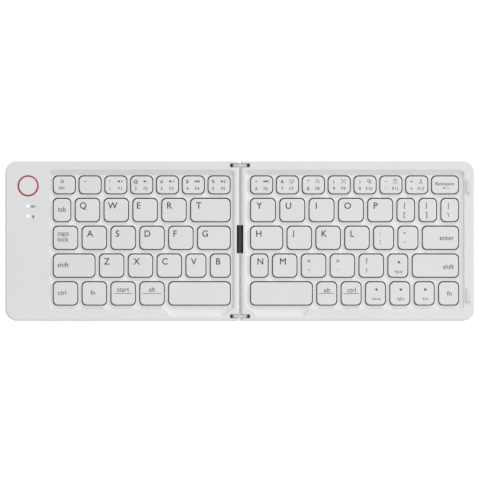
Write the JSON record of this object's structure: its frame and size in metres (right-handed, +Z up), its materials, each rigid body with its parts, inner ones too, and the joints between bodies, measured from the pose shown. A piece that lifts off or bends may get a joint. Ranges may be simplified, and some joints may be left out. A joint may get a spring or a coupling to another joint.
{
  "type": "folding keyboard",
  "caption": "Slim two-part folding keyboard with two-pin link hinges, split space key, round connect button, scissor keys and a flat cable across the seam.",
  "frame": {"origin": "middle of the seam, on the surface that the feet rest on, keyboard lying open", "axes": "+X to the right half, +Y to the back row of keys, +Z up out of the keys"},
  "size_m": [0.293, 0.1, 0.0086],
  "materials": {
    "case": "fine matte moulded surface, light warm grey",
    "keycap": "fine matte moulded surface, slightly lighter than the case",
    "steel": "bare stamped sheet and turned pins",
    "rubber_foot": "soft matte rubber",
    "rubber_bumper": "soft pale grey rubber",
    "dome_rubber": "translucent white silicone",
    "membrane_film": "thin satin film",
    "scissor_plastic": "slick white plastic",
    "cable_film": "black coated flat cable",
    "circuit_board": "dark green solder mask",
    "component": "black moulded packages",
    "battery_pouch": "satin foil pouch",
    "red_ring": "glossy red",
    "lens": "milky white light guide",
    "magnet": "nickel plated"
  },
  "bodies": {
    "left_half": {"left_top_case": "case", "left_bottom_case": "case", "left_support_plate": "steel", "left_membrane": "membrane_film", "left_domes": "dome_rubber", "left_scissors": "scissor_plastic", "left_hinge_pins": "steel", "left_flex_tail": "cable_film", "main_board": "circuit_board", "board_components": "component", "battery": "battery_pouch", "usb_c_socket": "steel", "button_ring": "red_ring", "indicator_lenses": "lens", "left_feet": "rubber_foot", "left_magnets": "magnet", "left_screws": "steel"},
    "hinge_links": {"hinge_links": "steel", "flex_cable": "cable_film"},
    "right_half": {"right_top_case": "case", "right_bottom_case": "case", "right_support_plate": "steel", "right_membrane": "membrane_film", "right_domes": "dome_rubber", "right_scissors": "scissor_plastic", "right_hinge_pins": "steel", "right_flex_tail": "cable_film", "right_feet": "rubber_foot", "bumpers": "rubber_bumper", "right_magnets": "magnet", "right_screws": "steel"},
    "connect_button": {"connect_button": "case"},
    "key_esc": {"key_esc": "keycap"},
    "keys_number_left": {"keys_number_left": "keycap"},
    "key_tab": {"key_tab": "keycap"},
    "keys_top_left": {"keys_top_left": "keycap"},
    "key_caps_lock": {"key_caps_lock": "keycap"},
    "keys_home_left": {"keys_home_left": "keycap"},
    "key_shift_left": {"key_shift_left": "keycap"},
    "keys_lower_left": {"keys_lower_left": "keycap"},
    "key_ctrl_left": {"key_ctrl_left": "keycap"},
    "key_fn_left": {"key_fn_left": "keycap"},
    "key_start": {"key_start": "keycap"},
    "key_alt_left": {"key_alt_left": "keycap"},
    "key_space_left": {"key_space_left": "keycap"},
    "keys_number_right": {"keys_number_right": "keycap"},
    "key_backspace": {"key_backspace": "keycap"},
    "keys_top_right": {"keys_top_right": "keycap"},
    "keys_home_right": {"keys_home_right": "keycap"},
    "key_enter": {"key_enter": "keycap"},
    "keys_lower_right": {"keys_lower_right": "keycap"},
    "key_up": {"key_up": "keycap"},
    "key_shift_right": {"key_shift_right": "keycap"},
    "key_space_right": {"key_space_right": "keycap"},
    "key_alt_right": {"key_alt_right": "keycap"},
    "key_ctrl_right": {"key_ctrl_right": "keycap"},
    "key_left": {"key_left": "keycap"},
    "key_down": {"key_down": "keycap"},
    "key_right": {"key_right": "keycap"},
    "key_fn_right": {"key_fn_right": "keycap"}
  },
  "joints": [
    {"name": "left_hinge", "type": "hinge", "parent": "left_half", "child": "hinge_links", "pos_m": [-0.0033, 0, 0.0049], "axis": [0, -1, 0], "range_deg": [0, 90], "deforming": ["flex_cable"]},
    {"name": "right_hinge", "type": "hinge", "parent": "hinge_links", "child": "right_half", "pos_m": [0.0033, 0, 0.0049], "axis": [0, -1, 0], "range_deg": [0, 90], "deforming": ["flex_cable"]},
    {"name": "press_connect_button", "type": "slide", "parent": "left_half", "child": "connect_button", "axis": [0, 0, -1], "range_m": [0, 0.0003], "stiffness_N_per_m": 500, "springref_m": -0.0004},
    {"name": "press_key_esc", "type": "slide", "parent": "left_half", "child": "key_esc", "axis": [0, 0, -1], "range_m": [0, 0.0015], "stiffness_N_per_m": 300, "springref_m": -0.0005, "deforming": ["left_domes", "left_scissors"]},
    {"name": "press_keys_number_left", "type": "slide", "parent": "left_half", "child": "keys_number_left", "axis": [0, 0, -1], "range_m": [0, 0.0015], "stiffness_N_per_m": 1800, "springref_m": -0.0005, "deforming": ["left_domes", "left_scissors"]},
    {"name": "press_key_tab", "type": "slide", "parent": "left_half", "child": "key_tab", "axis": [0, 0, -1], "range_m": [0, 0.0015], "stiffness_N_per_m": 300, "springref_m": -0.0005, "deforming": ["left_domes", "left_scissors"]},
    {"name": "press_keys_top_left", "type": "slide", "parent": "left_half", "child": "keys_top_left", "axis": [0, 0, -1], "range_m": [0, 0.0015], "stiffness_N_per_m": 1500, "springref_m": -0.0005, "deforming": ["left_domes", "left_scissors"]},
    {"name": "press_key_caps_lock", "type": "slide", "parent": "left_half", "child": "key_caps_lock", "axis": [0, 0, -1], "range_m": [0, 0.0015], "stiffness_N_per_m": 300, "springref_m": -0.0005, "deforming": ["left_domes", "left_scissors"]},
    {"name": "press_keys_home_left", "type": "slide", "parent": "left_half", "child": "keys_home_left", "axis": [0, 0, -1], "range_m": [0, 0.0015], "stiffness_N_per_m": 1500, "springref_m": -0.0005, "deforming": ["left_domes", "left_scissors"]},
    {"name": "press_key_shift_left", "type": "slide", "parent": "left_half", "child": "key_shift_left", "axis": [0, 0, -1], "range_m": [0, 0.0015], "stiffness_N_per_m": 300, "springref_m": -0.0005, "deforming": ["left_domes", "left_scissors"]},
    {"name": "press_keys_lower_left", "type": "slide", "parent": "left_half", "child": "keys_lower_left", "axis": [0, 0, -1], "range_m": [0, 0.0015], "stiffness_N_per_m": 1500, "springref_m": -0.0005, "deforming": ["left_domes", "left_scissors"]},
    {"name": "press_key_ctrl_left", "type": "slide", "parent": "left_half", "child": "key_ctrl_left", "axis": [0, 0, -1], "range_m": [0, 0.0015], "stiffness_N_per_m": 300, "springref_m": -0.0005, "deforming": ["left_domes", "left_scissors"]},
    {"name": "press_key_fn_left", "type": "slide", "parent": "left_half", "child": "key_fn_left", "axis": [0, 0, -1], "range_m": [0, 0.0015], "stiffness_N_per_m": 300, "springref_m": -0.0005, "deforming": ["left_domes", "left_scissors"]},
    {"name": "press_key_start", "type": "slide", "parent": "left_half", "child": "key_start", "axis": [0, 0, -1], "range_m": [0, 0.0015], "stiffness_N_per_m": 300, "springref_m": -0.0005, "deforming": ["left_domes", "left_scissors"]},
    {"name": "press_key_alt_left", "type": "slide", "parent": "left_half", "child": "key_alt_left", "axis": [0, 0, -1], "range_m": [0, 0.0015], "stiffness_N_per_m": 300, "springref_m": -0.0005, "deforming": ["left_domes", "left_scissors"]},
    {"name": "press_key_space_left", "type": "slide", "parent": "left_half", "child": "key_space_left", "axis": [0, 0, -1], "range_m": [0, 0.0015], "stiffness_N_per_m": 300, "springref_m": -0.0005, "deforming": ["left_domes", "left_scissors"]},
    {"name": "press_keys_number_right", "type": "slide", "parent": "right_half", "child": "keys_number_right", "axis": [0, 0, -1], "range_m": [0, 0.0015], "stiffness_N_per_m": 2100, "springref_m": -0.0005, "deforming": ["right_domes", "right_scissors"]},
    {"name": "press_key_backspace", "type": "slide", "parent": "right_half", "child": "key_backspace", "axis": [0, 0, -1], "range_m": [0, 0.0015], "stiffness_N_per_m": 300, "springref_m": -0.0005, "deforming": ["right_domes", "right_scissors"]},
    {"name": "press_keys_top_right", "type": "slide", "parent": "right_half", "child": "keys_top_right", "axis": [0, 0, -1], "range_m": [0, 0.0015], "stiffness_N_per_m": 2400, "springref_m": -0.0005, "deforming": ["right_domes", "right_scissors"]},
    {"name": "press_keys_home_right", "type": "slide", "parent": "right_half", "child": "keys_home_right", "axis": [0, 0, -1], "range_m": [0, 0.0015], "stiffness_N_per_m": 1800, "springref_m": -0.0005, "deforming": ["right_domes", "right_scissors"]},
    {"name": "press_key_enter", "type": "slide", "parent": "right_half", "child": "key_enter", "axis": [0, 0, -1], "range_m": [0, 0.0015], "stiffness_N_per_m": 300, "springref_m": -0.0005, "deforming": ["right_domes", "right_scissors"]},
    {"name": "press_keys_lower_right", "type": "slide", "parent": "right_half", "child": "keys_lower_right", "axis": [0, 0, -1], "range_m": [0, 0.0015], "stiffness_N_per_m": 1500, "springref_m": -0.0005, "deforming": ["right_domes", "right_scissors"]},
    {"name": "press_key_up", "type": "slide", "parent": "right_half", "child": "key_up", "axis": [0, 0, -1], "range_m": [0, 0.0015], "stiffness_N_per_m": 300, "springref_m": -0.0005, "deforming": ["right_domes", "right_scissors"]},
    {"name": "press_key_shift_right", "type": "slide", "parent": "right_half", "child": "key_shift_right", "axis": [0, 0, -1], "range_m": [0, 0.0015], "stiffness_N_per_m": 300, "springref_m": -0.0005, "deforming": ["right_domes", "right_scissors"]},
    {"name": "press_key_space_right", "type": "slide", "parent": "right_half", "child": "key_space_right", "axis": [0, 0, -1], "range_m": [0, 0.0015], "stiffness_N_per_m": 300, "springref_m": -0.0005, "deforming": ["right_domes", "right_scissors"]},
    {"name": "press_key_alt_right", "type": "slide", "parent": "right_half", "child": "key_alt_right", "axis": [0, 0, -1], "range_m": [0, 0.0015], "stiffness_N_per_m": 300, "springref_m": -0.0005, "deforming": ["right_domes", "right_scissors"]},
    {"name": "press_key_ctrl_right", "type": "slide", "parent": "right_half", "child": "key_ctrl_right", "axis": [0, 0, -1], "range_m": [0, 0.0015], "stiffness_N_per_m": 300, "springref_m": -0.0005, "deforming": ["right_domes", "right_scissors"]},
    {"name": "press_key_left", "type": "slide", "parent": "right_half", "child": "key_left", "axis": [0, 0, -1], "range_m": [0, 0.0015], "stiffness_N_per_m": 300, "springref_m": -0.0005, "deforming": ["right_domes", "right_scissors"]},
    {"name": "press_key_down", "type": "slide", "parent": "right_half", "child": "key_down", "axis": [0, 0, -1], "range_m": [0, 0.0015], "stiffness_N_per_m": 300, "springref_m": -0.0005, "deforming": ["right_domes", "right_scissors"]},
    {"name": "press_key_right", "type": "slide", "parent": "right_half", "child": "key_right", "axis": [0, 0, -1], "range_m": [0, 0.0015], "stiffness_N_per_m": 300, "springref_m": -0.0005, "deforming": ["right_domes", "right_scissors"]},
    {"name": "press_key_fn_right", "type": "slide", "parent": "right_half", "child": "key_fn_right", "axis": [0, 0, -1], "range_m": [0, 0.0015], "stiffness_N_per_m": 300, "springref_m": -0.0005, "deforming": ["right_domes", "right_scissors"]}
  ]
}
